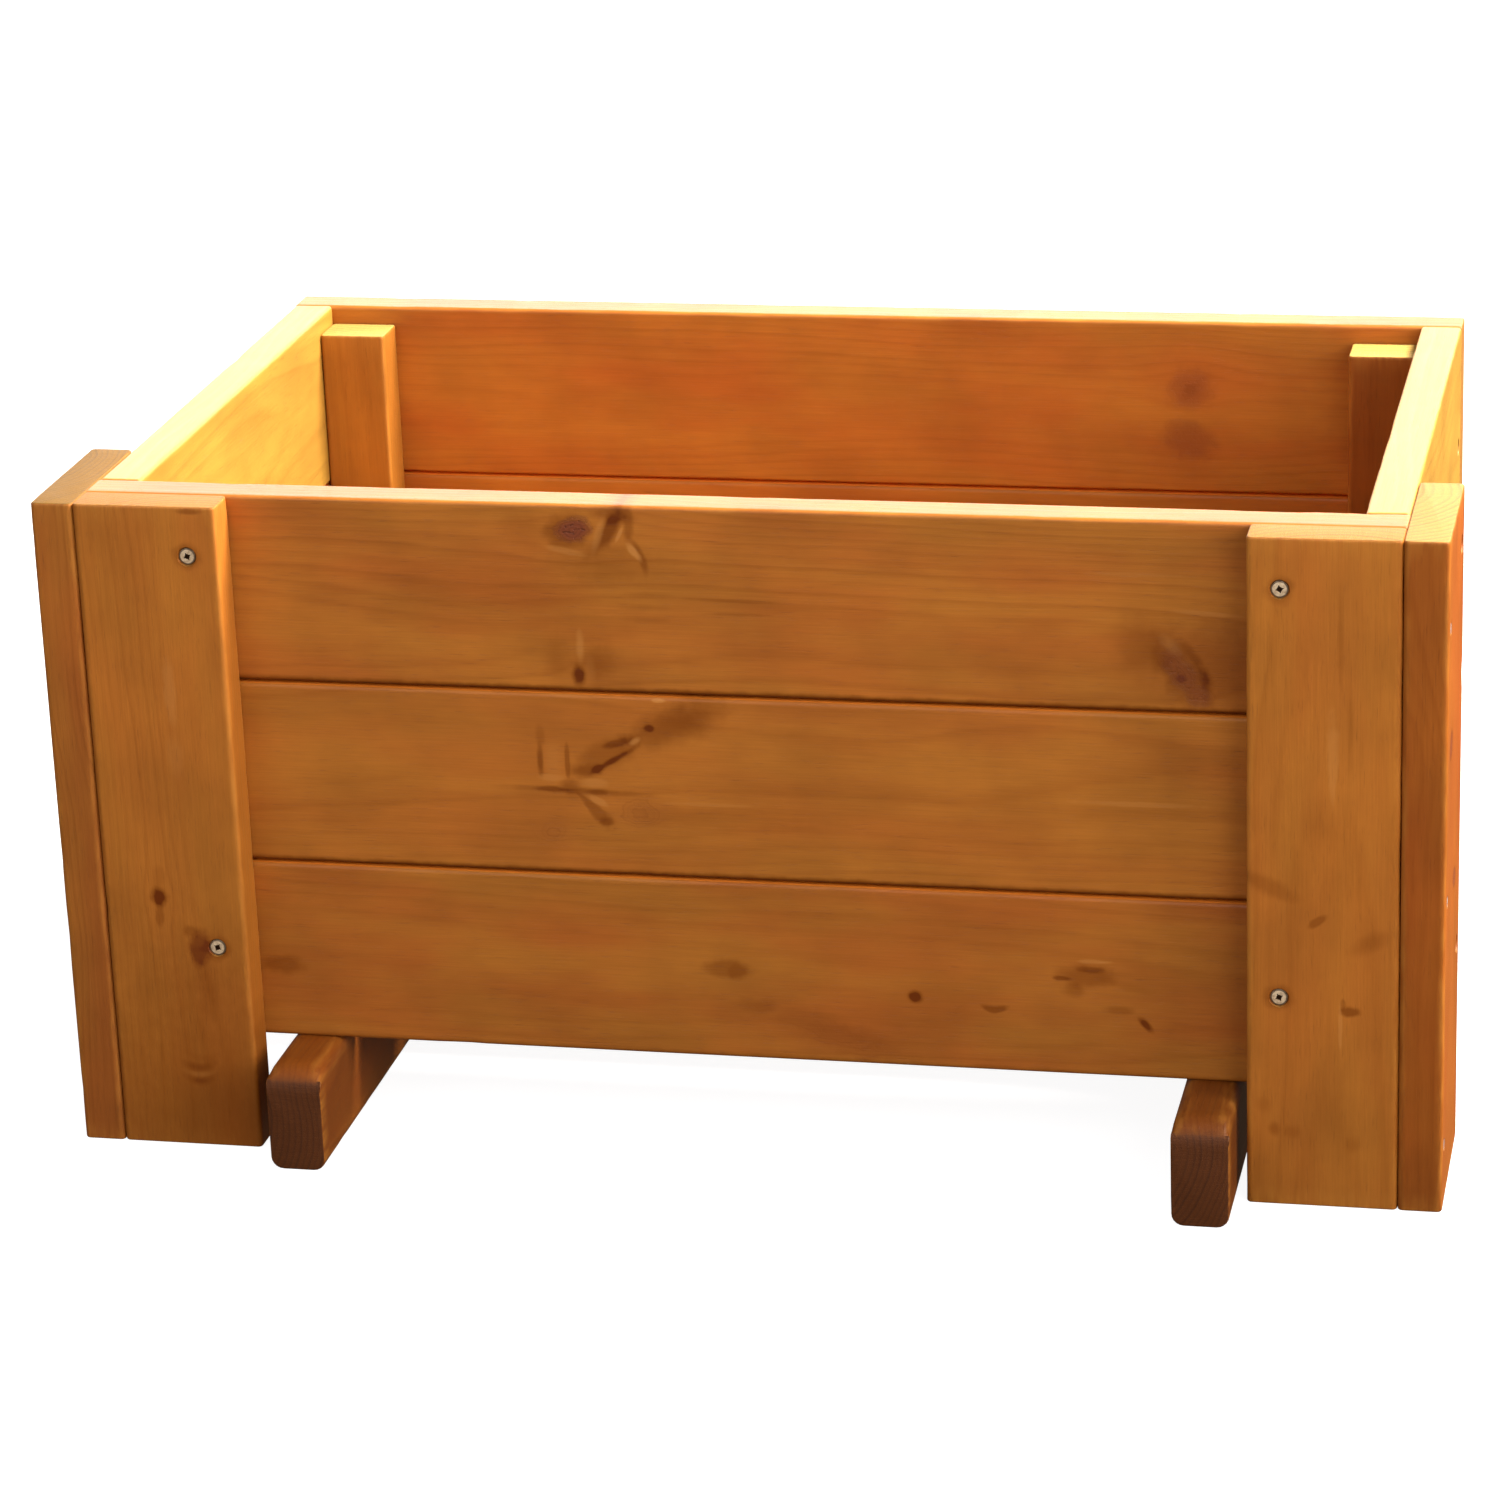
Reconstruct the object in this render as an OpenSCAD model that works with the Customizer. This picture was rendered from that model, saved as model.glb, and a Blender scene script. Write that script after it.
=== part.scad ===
// Wooden trough planter. Four walls of tongued-and-grooved boards stand on two skids,
// L-shaped board legs cover the front corners and battens stiffen the back corners.
// Millimetres, +Z up, the front faces -Y. Parts are drawn from the outer lower left
// corner of the front wall and moved to the middle of the footprint by place().

/* [Planter] */
// Outside length of the walls, left to right
planter_w = 615; // [560:5:900]
// Outside depth of the walls, front to back
planter_d = 360; // [340:5:420]
// Thickness of every planed board
board_t = 20.5; // [18:0.5:24]

/* [Wall boards] */
// Height that one board adds to its wall
board_cover = 90.7; // [85:0.1:120]
// Gap between the shoulders of two stacked boards
joint_gap = 1.4; // [0.3:0.1:2]
// Height of the tongue
tongue_l = 6; // [4:0.5:8]
// Thickness of the tongue
tongue_t = 6.5; // [5:0.5:8]
// Play of the tongue in its groove, both sides together
groove_play = 0.4; // [0.2:0.1:0.8]
// Rounding of the boards' long edges
arris_r = 2; // [0.5:0.5:2.5]

/* [Legs] */
// Width of the leg board on the front
leg_face_w = 69.5; // [60:0.5:75]
// Width of the leg board on the side, its front edge included
leg_side_w = 90; // [80:0.5:110]
// Rounding of the leg boards' long edges
leg_arris_r = 2.5; // [0.5:0.5:4]
// Distance of the leg screws from the leg's inner edge
leg_screw_inset = 15; // [10:1:20]
// Height of the lower leg screws
leg_screw_low = 103.5; // [90:0.5:125]
// Depth of the upper leg screws below the rim
leg_screw_drop = 24; // [15:1:30]

/* [Skids] */
// Width of a skid
skid_w = 27; // [20:1:35]
// Height of a skid
skid_h = 51; // [40:1:70]
// Length of the left skid in front of the front wall
skid_left_front = 43; // [25:1:80]
// Length of the right skid in front of the front wall
skid_right_front = 50; // [25:1:80]
// From the left wall's outer face to the left skid
skid_left_x = 81; // [76:1:120]
// From the right wall's outer face to the right skid
skid_right_x = 74; // [70:1:120]
// Rounding of the skids' long edges
skid_r = 6; // [2:1:9]
// Rounding of the skids' upper front edge
skid_nose_r = 12; // [4:1:20]

/* [Back battens] */
// Width of a batten along the back wall
batten_w = 34.5; // [25:0.5:50]
// Depth of a batten along the end wall
batten_d = 25; // [22:0.5:40]
// Depth of a batten's top below the rim
batten_drop = 9.5; // [5:0.5:20]

/* [Floor] */
// Width of a floor slat
slat_w = 69.5; // [50:0.5:70]

/* [Fasteners] */
// Length of the screws
screw_l = 35; // [30:1:38]
// Diameter of the screws' shank
screw_d = 4; // [3:0.5:5]
// Diameter of the screws' countersunk head
screw_head_d = 8; // [7:0.5:10]
// Depth of the screw heads below the wood
screw_sink = 0.6; // [0.2:0.1:1.5]
// Length of the nails
nail_l = 50; // [40:1:50]
// Diameter of the nails' shank
nail_d = 2.8; // [2:0.1:3.5]
// Diameter of the nails' flat head
nail_head_d = 6; // [5:0.5:7]

/* [Hidden] */
$fn = 48;

// Rows of a wall, counted from the bottom
BOTTOM = 0;
MIDDLE = 1;
TOP = 2;
ROWS = [BOTTOM, MIDDLE, TOP];

wall_z = skid_h;
rim_z = wall_z + len(ROWS) * board_cover;
inner_w = planter_w - 2 * board_t;
inner_d = planter_d - 2 * board_t;
groove_t = tongue_t + groove_play;
groove_l = tongue_l - joint_gap;

// Slats share the floor's depth with equal gaps between them and beside them
slat_count = 4;
slat_gap = (inner_d - slat_count * slat_w) / (slat_count + 1);
floor_z = wall_z + board_t;

leg_screw_z = [leg_screw_low, rim_z - leg_screw_drop];
// Heights of the nails that join the two boards of a leg
leg_nail_z = [30, 150, 280];

// Heights of fasteners above and below the middle of a board
nail_dz = 25;
batten_screw_dz = 14;
// Sideways distance of two slat nails from the slat's middle
slat_nail_dy = 20;

screw_head_t = 2.4;
screw_rim_t = 0.3;
screw_tip_l = 5;
screw_tip_r = 0.4;
recess_l = 4.4;
recess_w = 0.9;
recess_depth = 1.8;
nail_head_t = 1;
nail_tip_l = 4;
// Overlap that keeps the subtracted shapes clear of the faces that they open
over = 1;

wall_colour = [0.72, 0.43, 0.17];
end_colour = [0.85, 0.56, 0.22];
leg_colour = [0.76, 0.48, 0.20];
batten_colour = [0.86, 0.52, 0.20];
skid_colour = [0.42, 0.24, 0.11];
slat_colour = [0.66, 0.40, 0.18];
screw_colour = [0.80, 0.74, 0.55];
nail_colour = [0.60, 0.60, 0.62];

function row_middle(row) = wall_z + (row + 0.5) * board_cover;
function slat_y(i) = board_t + slat_gap + i * (slat_w + slat_gap);

// ---- frames -----------------------------------------------------------------

module place() {
  translate([-planter_w / 2, -(planter_d - max(skid_left_front, skid_right_front)) / 2, 0])
    children();
}

// The left-hand part turned into its right-hand twin
module mirrored() {
  translate([planter_w, 0, 0]) mirror([1, 0, 0]) children();
}

module both_ends() {
  children();
  mirrored() children();
}

// An outline in the X-Y plane becomes a bar of length l along +X, its y pointing up
module bar_x(l) {
  rotate([90, 0, 90]) linear_extrude(l) children();
}

// The same along +Y, its x pointing along +X
module bar_y(l) {
  translate([0, l, 0]) rotate([90, 0, 0]) linear_extrude(l) children();
}

// ---- outlines ---------------------------------------------------------------

module eased_rect(w, h, r) {
  translate([r, 0]) square([w - 2 * r, h]);
  translate([0, r]) square([w, h - 2 * r]);
  for (x = [r, w - r], y = [r, h - r])
    translate([x, y]) circle(r);
}

// Cross-section of a wall board: a groove below, a tongue above except at the rim
module wall_outline(row) {
  shoulder = row == TOP ? board_cover : board_cover - joint_gap;
  difference() {
    union() {
      eased_rect(board_t, shoulder, arris_r);
      if (row != TOP)
        translate([(board_t - tongue_t) / 2, shoulder - over]) square([tongue_t, tongue_l + over]);
    }
    translate([(board_t - groove_t) / 2, -over]) square([groove_t, groove_l + over]);
  }
}

// Side view of a skid of length l, with its upper front edge rounded off
module skid_side(l) {
  square([l, skid_h - skid_nose_r]);
  translate([skid_nose_r, 0]) square([l - skid_nose_r, skid_h]);
  translate([skid_nose_r, skid_h - skid_nose_r]) circle(skid_nose_r);
}

// ---- fasteners, pointing down from the top of the head at the origin ---------

module screw_body() {
  rotate_extrude() polygon([
    [0, 0], [screw_head_d / 2, 0], [screw_head_d / 2, -screw_rim_t],
    [screw_d / 2, -screw_head_t], [screw_d / 2, screw_tip_l - screw_l],
    [screw_tip_r, -screw_l], [0, -screw_l]
  ]);
}

module screw() {
  difference() {
    screw_body();
    for (a = [0, 90])
      rotate(a) translate([-recess_l / 2, -recess_w / 2, -recess_depth])
        cube([recess_l, recess_w, recess_depth + over]);
  }
}

module screw_hole() {
  screw_body();
  translate([0, 0, -screw_rim_t]) cylinder(h = screw_rim_t + screw_sink + over, d = screw_head_d);
}

module nail() {
  rotate_extrude() polygon([
    [0, 0], [nail_head_d / 2, 0], [nail_head_d / 2, -nail_head_t],
    [nail_d / 2, -nail_head_t], [nail_d / 2, nail_tip_l - nail_l], [0, -nail_l]
  ]);
}

// ---- places of the fasteners at the left-hand end ----------------------------

// Through the leg's face board into the front wall
module at_leg_face() {
  for (z = leg_screw_z)
    translate([leg_face_w - leg_screw_inset, screw_sink - board_t, z]) rotate([90, 0, 0]) children();
}

// Through the leg's side board into the end wall
module at_leg_side() {
  y = leg_side_w - board_t - leg_screw_inset;
  for (z = leg_screw_z)
    translate([screw_sink - board_t, y, z]) rotate([0, -90, 0]) children();
}

// Through the leg's side board into the edge of its face board
module at_leg_corner() {
  for (z = leg_nail_z)
    translate([-board_t, -board_t / 2, z]) rotate([0, -90, 0]) children();
}

// Through the front wall into the ends of the end wall's boards, under the leg
module at_front_corner() {
  for (row = ROWS, dz = [-nail_dz, nail_dz])
    translate([board_t / 2, 0, row_middle(row) + dz]) rotate([90, 0, 0]) children();
}

// Through the back wall into the batten
module at_back_batten() {
  for (row = ROWS)
    translate([board_t + batten_w / 2, planter_d - screw_sink, row_middle(row) + batten_screw_dz])
      rotate([-90, 0, 0]) children();
}

// Through the end wall into the batten
module at_end_batten() {
  for (row = ROWS)
    translate([screw_sink, planter_d - board_t - batten_d / 2, row_middle(row) - batten_screw_dz])
      rotate([0, -90, 0]) children();
}

// Through the end wall into the ends of the floor slats
module at_slat_end() {
  for (i = [0 : slat_count - 1])
    translate([0, slat_y(i) + slat_w / 2, wall_z + board_t / 2]) rotate([0, -90, 0]) children();
}

// Through the floor slats into both skids
module at_slat_skid() {
  for (i = [0 : slat_count - 1], dy = [-slat_nail_dy, slat_nail_dy],
       x = [skid_left_x + skid_w / 2, planter_w - skid_right_x - skid_w / 2])
    translate([x, slat_y(i) + slat_w / 2 + dy, floor_z]) children();
}

// ---- boards -----------------------------------------------------------------

module front_board(row) {
  difference() {
    translate([0, 0, wall_z + row * board_cover]) bar_x(planter_w) wall_outline(row);
    both_ends() {
      at_leg_face() screw_body();
      at_front_corner() nail();
    }
  }
}

module back_board(row) {
  difference() {
    translate([0, planter_d - board_t, wall_z + row * board_cover])
      bar_x(planter_w) wall_outline(row);
    both_ends() at_back_batten() screw_hole();
  }
}

module end_board(row) {
  difference() {
    translate([0, board_t, wall_z + row * board_cover]) bar_y(inner_d) wall_outline(row);
    at_leg_side() screw_body();
    at_front_corner() nail();
    at_end_batten() screw_hole();
    at_slat_end() nail();
  }
}

module leg_face() {
  difference() {
    translate([0, -board_t, 0]) linear_extrude(rim_z) eased_rect(leg_face_w, board_t, leg_arris_r);
    at_leg_face() screw_hole();
    at_leg_corner() nail();
  }
}

module leg_side() {
  difference() {
    translate([-board_t, -board_t, 0])
      linear_extrude(rim_z) eased_rect(board_t, leg_side_w, leg_arris_r);
    at_leg_side() screw_hole();
    at_leg_corner() nail();
  }
}

module batten() {
  difference() {
    translate([board_t, planter_d - board_t - batten_d, floor_z])
      linear_extrude(rim_z - batten_drop - floor_z) eased_rect(batten_w, batten_d, arris_r);
    at_back_batten() screw_body();
    at_end_batten() screw_body();
  }
}

module skid(x, front) {
  l = front + planter_d;
  difference() {
    translate([x, -front, 0]) intersection() {
      bar_y(l) eased_rect(skid_w, skid_h, skid_r);
      bar_x(skid_w) skid_side(l);
    }
    at_slat_skid() nail();
  }
}

module slat(i) {
  difference() {
    translate([board_t, slat_y(i), wall_z]) bar_x(inner_w) eased_rect(slat_w, board_t, arris_r);
    both_ends() at_slat_end() nail();
    at_slat_skid() nail();
  }
}

// ---- named parts ------------------------------------------------------------

module front_board_top() { color(wall_colour) place() front_board(TOP); }
module front_board_middle() { color(wall_colour) place() front_board(MIDDLE); }
module front_board_bottom() { color(wall_colour) place() front_board(BOTTOM); }

module back_board_top() { color(wall_colour) place() back_board(TOP); }
module back_board_middle() { color(wall_colour) place() back_board(MIDDLE); }
module back_board_bottom() { color(wall_colour) place() back_board(BOTTOM); }

module left_end_board_top() { color(end_colour) place() end_board(TOP); }
module left_end_board_middle() { color(end_colour) place() end_board(MIDDLE); }
module left_end_board_bottom() { color(end_colour) place() end_board(BOTTOM); }

module right_end_board_top() { color(end_colour) place() mirrored() end_board(TOP); }
module right_end_board_middle() { color(end_colour) place() mirrored() end_board(MIDDLE); }
module right_end_board_bottom() { color(end_colour) place() mirrored() end_board(BOTTOM); }

module left_leg_face_board() { color(leg_colour) place() leg_face(); }
module left_leg_side_board() { color(leg_colour) place() leg_side(); }
module right_leg_face_board() { color(leg_colour) place() mirrored() leg_face(); }
module right_leg_side_board() { color(leg_colour) place() mirrored() leg_side(); }

module left_back_batten() { color(batten_colour) place() batten(); }
module right_back_batten() { color(batten_colour) place() mirrored() batten(); }

module left_skid() { color(skid_colour) place() skid(skid_left_x, skid_left_front); }
module right_skid() {
  color(skid_colour) place() skid(planter_w - skid_right_x - skid_w, skid_right_front);
}

module floor_slat_1() { color(slat_colour) place() slat(0); }
module floor_slat_2() { color(slat_colour) place() slat(1); }
module floor_slat_3() { color(slat_colour) place() slat(2); }
module floor_slat_4() { color(slat_colour) place() slat(3); }

module leg_face_screws() { color(screw_colour) place() both_ends() at_leg_face() screw(); }
module leg_side_screws() { color(screw_colour) place() both_ends() at_leg_side() screw(); }
module leg_corner_nails() { color(nail_colour) place() both_ends() at_leg_corner() nail(); }
module front_corner_nails() { color(nail_colour) place() both_ends() at_front_corner() nail(); }
module back_batten_screws() { color(screw_colour) place() both_ends() at_back_batten() screw(); }
module end_batten_screws() { color(screw_colour) place() both_ends() at_end_batten() screw(); }
module slat_end_nails() { color(nail_colour) place() both_ends() at_slat_end() nail(); }
module slat_skid_nails() { color(nail_colour) place() at_slat_skid() nail(); }

front_board_top();
front_board_middle();
front_board_bottom();
back_board_top();
back_board_middle();
back_board_bottom();
left_end_board_top();
left_end_board_middle();
left_end_board_bottom();
right_end_board_top();
right_end_board_middle();
right_end_board_bottom();
left_leg_face_board();
left_leg_side_board();
right_leg_face_board();
right_leg_side_board();
left_back_batten();
right_back_batten();
left_skid();
right_skid();
floor_slat_1();
floor_slat_2();
floor_slat_3();
floor_slat_4();
leg_face_screws();
leg_side_screws();
leg_corner_nails();
front_corner_nails();
back_batten_screws();
end_batten_screws();
slat_end_nails();
slat_skid_nails();
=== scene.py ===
"""Looks of a stained softwood trough planter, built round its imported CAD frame.

Lengths are in metres in the planter's frame: +X right, +Y back, +Z up. Wood patterns work in
millimetres along a board's own axes: u along the grain, v across its width, w through it.
"""
import math
import random
from collections import namedtuple

import bmesh
import bpy
from mathutils import Matrix, Vector, noise


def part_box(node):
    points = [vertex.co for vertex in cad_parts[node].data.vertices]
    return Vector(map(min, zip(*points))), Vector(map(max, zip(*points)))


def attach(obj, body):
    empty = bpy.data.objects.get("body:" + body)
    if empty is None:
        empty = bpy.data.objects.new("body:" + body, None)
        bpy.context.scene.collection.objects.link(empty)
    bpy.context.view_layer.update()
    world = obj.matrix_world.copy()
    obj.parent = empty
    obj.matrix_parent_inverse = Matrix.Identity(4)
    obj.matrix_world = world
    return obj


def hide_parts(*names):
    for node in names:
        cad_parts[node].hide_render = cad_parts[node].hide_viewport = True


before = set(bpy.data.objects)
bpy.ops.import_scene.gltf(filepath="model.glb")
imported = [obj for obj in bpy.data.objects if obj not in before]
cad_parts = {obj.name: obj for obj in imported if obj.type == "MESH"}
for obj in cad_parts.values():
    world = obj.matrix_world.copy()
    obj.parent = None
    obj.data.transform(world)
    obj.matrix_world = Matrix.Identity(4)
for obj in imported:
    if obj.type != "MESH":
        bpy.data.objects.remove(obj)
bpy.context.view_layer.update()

MM = 0.001
X, Y, Z = 0, 1, 2

# ---- camera ----

AIM = Vector((-0.0263, -0.0091, 0.1526))
AZIMUTH, ELEVATION, ROLL = math.radians(12.52), math.radians(19.88), math.radians(-2.17)
DISTANCE = 2.430
LENS = 117.8


def make_camera():
    data = bpy.data.cameras.new("camera")
    data.lens = LENS
    data.clip_end = 50
    camera = bpy.data.objects.new("camera", data)
    bpy.context.scene.collection.objects.link(camera)
    back = Vector((math.sin(AZIMUTH) * math.cos(ELEVATION),
                   -math.cos(AZIMUTH) * math.cos(ELEVATION), math.sin(ELEVATION)))
    turn = (-back).to_track_quat("-Z", "Y").to_matrix().to_4x4()
    roll = Matrix.Rotation(ROLL, 4, "Z")
    camera.matrix_world = Matrix.Translation(AIM + back * DISTANCE) @ turn @ roll
    bpy.context.scene.camera = camera


make_camera()

# ---- node trees ----


class Nodes:
    """Adds linked nodes to one tree. An input is a number, a colour, a vector or an output."""

    def __init__(self, tree):
        self.tree = tree

    def put(self, socket, value):
        if isinstance(value, bpy.types.NodeSocket):
            self.tree.links.new(value, socket)
        elif value is not None:
            socket.default_value = value

    def add(self, kind, inputs=None, group=None, **settings):
        node = self.tree.nodes.new(kind)
        if group:
            node.node_tree = group
        for name, value in settings.items():
            setattr(node, name, value)
        for key, value in (inputs or {}).items():
            self.put(node.inputs[key], value)
        return node

    def math(self, operation, *values, clamp=False):
        node = self.add("ShaderNodeMath", operation=operation, use_clamp=clamp)
        for socket, value in zip(node.inputs, values):
            self.put(socket, value)
        return node.outputs[0]

    def vector(self, operation, *values):
        node = self.add("ShaderNodeVectorMath", operation=operation)
        for socket, value in zip(node.inputs, values):
            self.put(socket, value)
        return node.outputs["Value" if operation in ("LENGTH", "DOT_PRODUCT") else "Vector"]

    def join(self, x, y, z=0.0):
        return self.add("ShaderNodeCombineXYZ", {0: x, 1: y, 2: z}).outputs[0]

    def split(self, vector):
        return self.add("ShaderNodeSeparateXYZ", {0: vector}).outputs

    def mix(self, factor, a, b, blend_type="MIX"):
        node = self.add("ShaderNodeMix", data_type="RGBA", blend_type=blend_type)
        for key, value in ((0, factor), (6, a), (7, b)):
            self.put(node.inputs[key], value)
        return node.outputs[2]

    def blend(self, factor, a, b):
        node = self.add("ShaderNodeMix", data_type="FLOAT")
        for key, value in ((0, factor), (2, a), (3, b)):
            self.put(node.inputs[key], value)
        return node.outputs[0]

    def fade(self, value, low, high, at_low=0.0, at_high=1.0):
        """Smooth step of value from low to high."""
        return self.add("ShaderNodeMapRange", {0: value, 1: low, 2: high, 3: at_low, 4: at_high},
                        interpolation_type="SMOOTHSTEP").outputs[0]

    def curve(self, value, stops):
        """A number that follows the (position, height) stops."""
        node = self.add("ShaderNodeValToRGB", {0: value})
        elements = node.color_ramp.elements
        while len(elements) < len(stops):
            elements.new(0.5)
        for element, (position, height) in zip(elements, stops):
            element.position = position
            element.color = (height, height, height, 1)
        return self.math("MULTIPLY", node.outputs[0], 1.0)

    def noise(self, place, scale, detail=2.0, roughness=0.5):
        """Noise of about 0 to 1 with features 1/scale long; scale may differ per axis."""
        if not isinstance(scale, (int, float)):
            place, scale = self.vector("MULTIPLY", place, scale), 1.0
        return self.add("ShaderNodeTexNoise", {"Vector": place, "Scale": scale, "Detail": detail,
                                               "Roughness": roughness}).outputs[0]


def new_group(name, inputs, outputs):
    """An empty node group. inputs and outputs are {name: socket kind}."""
    group = bpy.data.node_groups.new(name, "ShaderNodeTree")
    for names, way in ((inputs, "INPUT"), (outputs, "OUTPUT")):
        for socket, kind in names.items():
            group.interface.new_socket(socket, in_out=way, socket_type="NodeSocket" + kind)
    nodes = Nodes(group)
    given = nodes.add("NodeGroupInput").outputs
    result = nodes.add("NodeGroupOutput").inputs
    return group, nodes, given, result


def new_material(name):
    """A material, what adds its nodes, and the inputs of its shader."""
    material = bpy.data.materials.new(name)
    material.use_nodes = True
    surface = material.node_tree.nodes["Principled BSDF"].inputs
    return material, Nodes(material.node_tree), surface


# ---- pine ----

# Linear colours of the stained wood
EARLY = (0.470, 0.160, 0.0210, 1)
EARLY_RED = (0.435, 0.112, 0.0165, 1)
LATE = (0.295, 0.080, 0.0110, 1)
BROWN = (0.200, 0.047, 0.0020, 1)
DEEP_BROWN = (0.145, 0.027, 0.0010, 1)
HEART = (0.220, 0.053, 0.0210, 1)
# Wood that the stain has not reached, inside the joints, made bright to paint light into the shaded
# gaps
BARE_BRIGHTENED = (0.75, 0.20, 0.020, 1)
PALE = (0.620, 0.255, 0.0600, 1)
END_GRAIN = (0.320, 0.135, 0.0235, 1)
WORN = (0.620, 0.260, 0.0400, 1)
DARK_END_GRAIN = (0.095, 0.025, 0.0036, 1)
NO_STAIN = (1, 1, 1, 1)
SIDE_STAIN = {"left": (0.84, 0.82, 0.9, 1), "right": (0.72, 0.57, 0.48, 1)}
SIDE_END_GRAIN = {"left": (0.185, 0.082, 0.004, 1), "right": (0.39, 0.18, 0.040, 1)}
BACK_STAIN = (0.90, 0.86, 0.75, 1)
# The skids' stain, made darker partly as painted shade of the front wall over them
SKID_STAIN_AND_SHADE = {"left": (0.61, 0.47, 0.35, 1), "right": (0.42, 0.32, 0.28, 1)}
# Painted light: the end boards' stain is made yellower and paler, so that they look sunlit
END_SUNLIT_STAIN = (0.90, 1.40, 1.60, 1)
BATTEN_STAIN = {"left": (0.78, 0.84, 0.78, 1), "right": (0.58, 0.46, 0.38, 1)}
BATTEN_END_GRAIN = (0.50, 0.31, 0.070, 1)
# Growth rings across a knot's heart, and how strongly grain swerves round a knot
KNOT_RINGS = 3.2
SWERVE = 1.1
# How far a mark nudges the next one, in mm, and how dark the stain makes all marks
NUDGE = 0.3
DARKNESS = 1.3
# Painted shade darkens the wood near the ground: heights in mm and the share of light left
GROUND_SHADE_LOW, GROUND_SHADE_HIGH, GROUND_SHADE = -20, 230, 0.79
# How dark late wood gets across one growth ring, from its inner to its outer edge
RING_PROFILE = ((0.0, 0.25), (0.12, 0.0), (0.5, 0.12), (0.86, 0.95), (1.0, 0.25))
# How far the rings stray from circles, over a long and over a short way, in mm
LONG_STRAY, SHORT_STRAY = 16.0, 1.6
BASE_ROUGHNESS = 0.36
# Size of a mark through the board's thickness, in mm
FAR = 1000


def make_mark_group():
    """One soft-edged mark: knots, cracks, stains and painted shade are made of these.
    Marks, a vector of dark, heart and pale, goes in and comes out with this mark laid over it.
    The place that comes out is nudged inside the mark, which makes the next mark less regular."""
    group, n, given, result = new_group(
        "mark",
        {"Place": "Vector", "Wobble": "Float", "Centre": "Vector", "Size": "Vector",
         "Turn": "Float", "Bend": "Float", "Taper": "Float", "Sharp": "Float", "Depth": "Float",
         "Marks": "Color", "Amounts": "Color", "Is heart": "Float"},
        {"Place": "Vector", "Depth": "Float", "Marks": "Color"})
    offset = n.vector("SUBTRACT", given["Place"], given["Centre"])
    turned = n.add("ShaderNodeVectorRotate", {"Vector": offset, "Angle": given["Turn"]},
                   rotation_type="Z_AXIS").outputs[0]
    x, y, _ = n.split(n.vector("DIVIDE", turned, given["Size"]))
    y = n.math("MULTIPLY_ADD", n.math("MULTIPLY", x, x), given["Bend"], y)
    widening = n.math("MULTIPLY_ADD", x, given["Taper"], 1.0)
    y = n.math("DIVIDE", y, n.math("MAXIMUM", widening, 0.25))
    reach = n.math("ADD", n.vector("LENGTH", n.join(x, y)), given["Wobble"])
    depth_inside = n.math("SUBTRACT", 1.0, reach)
    inside = n.fade(n.math("MULTIPLY_ADD", depth_inside, given["Sharp"], 0.5), 0, 1)
    n.put(result["Marks"], n.mix(inside, given["Marks"], given["Amounts"], "SCREEN"))
    in_heart = n.math("MULTIPLY", inside, given["Is heart"])
    n.put(result["Depth"], n.blend(in_heart, given["Depth"], n.math("MULTIPLY", reach, KNOT_RINGS)))
    nudge = n.join(0.0, n.math("MULTIPLY", inside, NUDGE))
    n.put(result["Place"], n.vector("ADD", given["Place"], nudge))
    return group


def make_swerve_group():
    """Bends the grain round a knot: v is pulled towards the knot's middle near it."""
    group, n, given, result = new_group(
        "swerve", {"Place": "Vector", "Centre": "Vector", "Size": "Vector"}, {"Place": "Vector"})
    offset = n.vector("SUBTRACT", given["Place"], given["Centre"])
    u, v, _ = n.split(n.vector("DIVIDE", offset, given["Size"]))
    distance = n.math("MULTIPLY_ADD", u, u, n.math("MULTIPLY", v, v))
    pull = n.math("DIVIDE", -SWERVE, n.math("ADD", distance, SWERVE))
    off_v = n.math("MULTIPLY", n.split(offset)[1], pull)
    n.put(result["Place"], n.vector("ADD", given["Place"], n.join(0.0, off_v)))
    return group


def late_wood(n, given, heart):
    """How dark the growth rings are: 0 in early wood, up to 1 in late wood."""
    # Distance from the pith, warped slowly along the grain, in rings
    bent = given["Bent"]
    u, v, w = n.split(n.vector("SUBTRACT", bent, given["Pith"]))
    slow = n.math("SUBTRACT", n.noise(bent, (0.0040, 0.016, 0.016), detail=1), 0.5)
    quick = n.math("SUBTRACT", n.noise(bent, (0.016, 0.12, 0.12)), 0.5)
    radius = n.vector("LENGTH", n.join(0.0, v, w))
    radius = n.math("MULTIPLY_ADD", u, given["Slope"], radius)
    radius = n.math("MULTIPLY_ADD", slow, LONG_STRAY, radius)
    radius = n.math("MULTIPLY_ADD", quick, SHORT_STRAY, radius)
    ring = n.math("DIVIDE", radius, given["Spacing"])
    ring = n.blend(n.fade(heart, 0.05, 0.4), ring, given["Depth"])
    late = n.curve(n.math("FRACT", ring), RING_PROFILE)
    strength = n.add("ShaderNodeTexNoise", {"W": ring, "Scale": 0.43, "Detail": 1.0},
                     noise_dimensions="1D").outputs[0]
    return n.math("MULTIPLY", late, n.fade(strength, 0.3, 0.7, 0.3, 1.0))


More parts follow.
